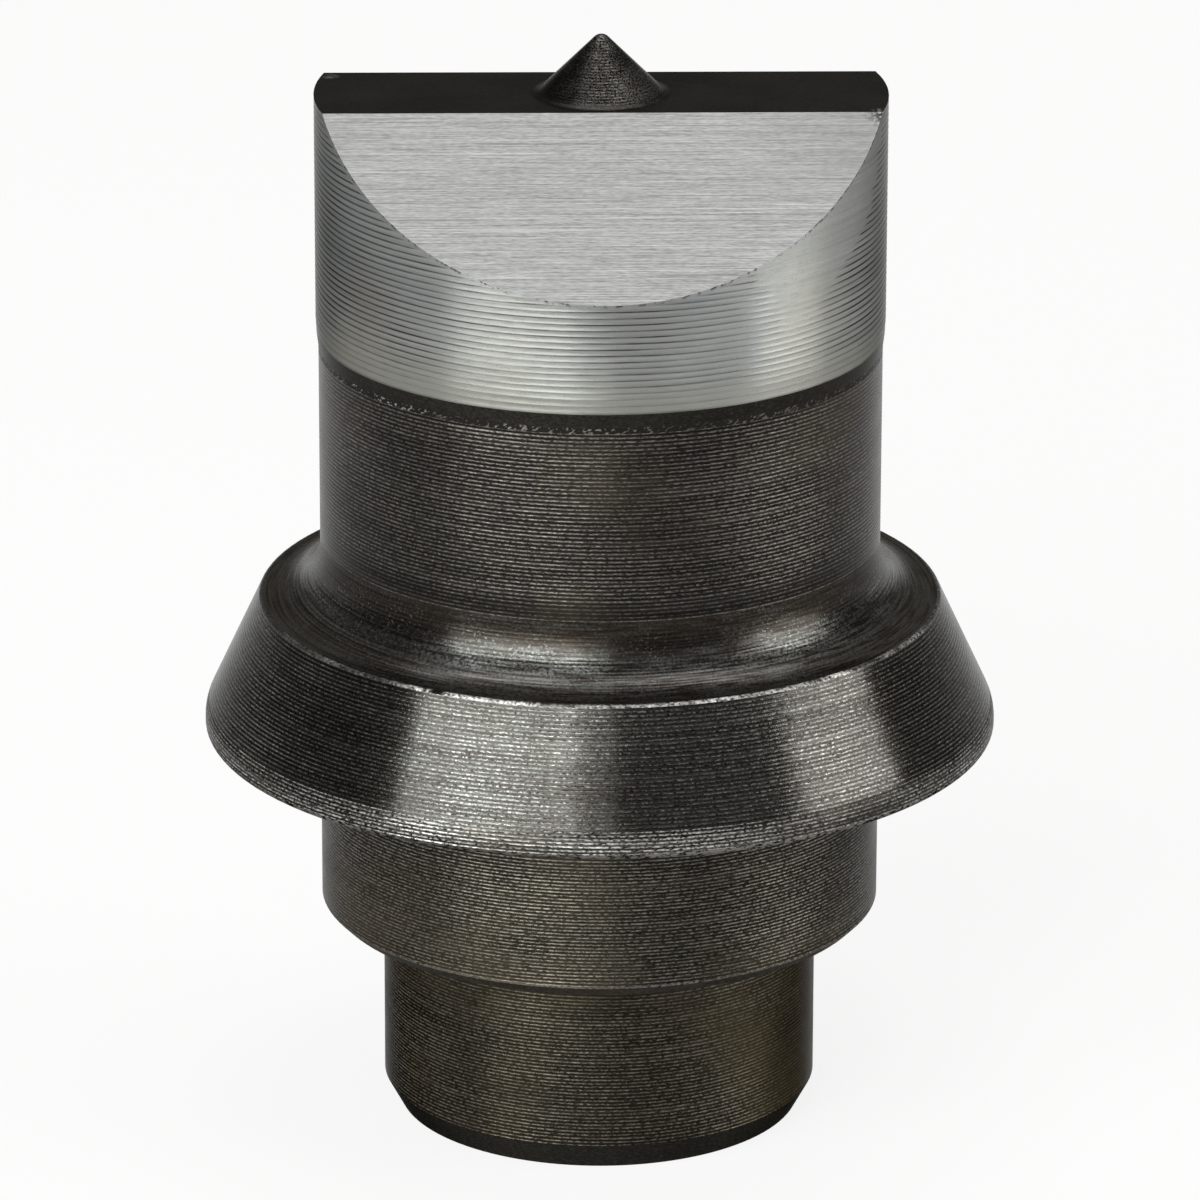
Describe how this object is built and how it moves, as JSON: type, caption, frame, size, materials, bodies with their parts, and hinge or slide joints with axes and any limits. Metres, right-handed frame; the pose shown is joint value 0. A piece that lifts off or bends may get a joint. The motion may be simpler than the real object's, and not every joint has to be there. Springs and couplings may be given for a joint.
{
  "type": "piercing punch",
  "caption": "Round piercing punch in dark tool steel with a ground, roof-shaped cutting head, a centre pip, a conical clamping collar, a shoulder and a chamfered spigot.",
  "frame": {"origin": "centre of the spigot's end face, on which the punch stands", "axes": "+Z along the axis from the spigot to the cutting head, +X along the flat strip of the head"},
  "size_m": [0.0392, 0.0392, 0.0553],
  "materials": {
    "tool_steel": "turned and heat darkened, with a bright ground land and roof"
  },
  "bodies": {
    "root": {"piercing_punch": "tool_steel"}
  },
  "joints": []
}
